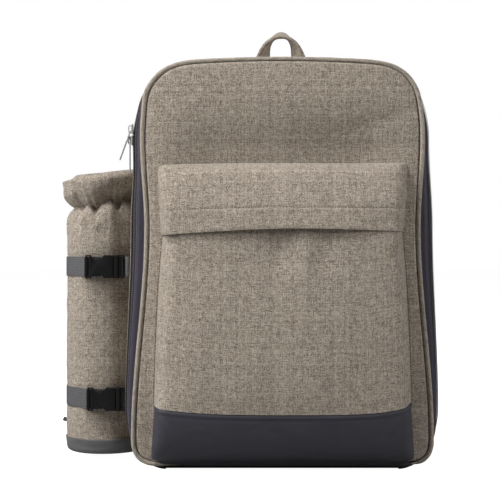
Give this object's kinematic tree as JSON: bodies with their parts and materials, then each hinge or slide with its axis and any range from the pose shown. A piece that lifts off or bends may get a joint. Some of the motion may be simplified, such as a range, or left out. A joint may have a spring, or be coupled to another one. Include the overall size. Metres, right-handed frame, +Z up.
{
  "type": "picnic backpack",
  "caption": "Soft picnic backpack with a zip round the body, a boxed front pocket under a flap, a strapped-on bottle sleeve at the side, a top handle and padded shoulder straps.",
  "frame": {"origin": "on the ground, at the middle of the flat base under the body", "axes": "+X to the bag's right as seen from the front, +Y towards the wearer's back, +Z up"},
  "size_m": [0.3917, 0.2369, 0.4523],
  "materials": {
    "beige_cloth": "heathered plain weave",
    "violet_strip": "smooth dark violet-grey weave",
    "zip_tape": "dark ribbed tape",
    "zip_coil": "dark coil teeth",
    "leather_look": "smooth matt coated cloth",
    "black_base": "black plain weave",
    "grey_webbing": "grey woven webbing",
    "dark_webbing": "dark woven webbing",
    "buckle_plastic": "moulded satin black",
    "zip_metal": "nickel plate"
  },
  "bodies": {
    "bag": {"front_panel": "beige_cloth", "front_piping": "beige_cloth", "side_gusset": "beige_cloth", "back_panel": "beige_cloth", "pocket_face": "beige_cloth", "pocket_flap": "beige_cloth", "bottle_sleeve": "beige_cloth", "bottle_collar": "beige_cloth", "handle": "beige_cloth", "shoulder_strap_left": "beige_cloth", "shoulder_strap_right": "beige_cloth", "front_strip": "violet_strip", "zip_tape": "zip_tape", "zip_coil": "zip_coil", "pocket_band": "leather_look", "base_piping": "leather_look", "bottle_base": "leather_look", "base_panel": "black_base", "upper_long_strap": "grey_webbing", "upper_short_strap": "grey_webbing", "lower_long_strap": "grey_webbing", "lower_short_strap": "grey_webbing", "strap_webbing_left": "dark_webbing", "strap_webbing_right": "dark_webbing", "upper_buckle_socket": "buckle_plastic", "upper_buckle_plug": "buckle_plastic", "lower_buckle_socket": "buckle_plastic", "lower_buckle_plug": "buckle_plastic", "strap_adjuster_left": "buckle_plastic", "strap_adjuster_right": "buckle_plastic", "upper_slider": "zip_metal", "lower_slider": "zip_metal"},
    "upper_pull_body": {"upper_pull": "zip_metal"},
    "lower_pull_body": {"lower_pull": "zip_metal"}
  },
  "joints": [
    {"name": "upper_pull_swing", "type": "hinge", "parent": "bag", "child": "upper_pull_body", "pos_m": [-0.14869, -0.0544, 0.3301], "axis": [0, 1, 0], "range_deg": [0, 120]},
    {"name": "lower_pull_swing", "type": "hinge", "parent": "bag", "child": "lower_pull_body", "pos_m": [-0.14901, -0.0544, 0.3191], "axis": [0, 1, 0], "range_deg": [0, 20]}
  ]
}
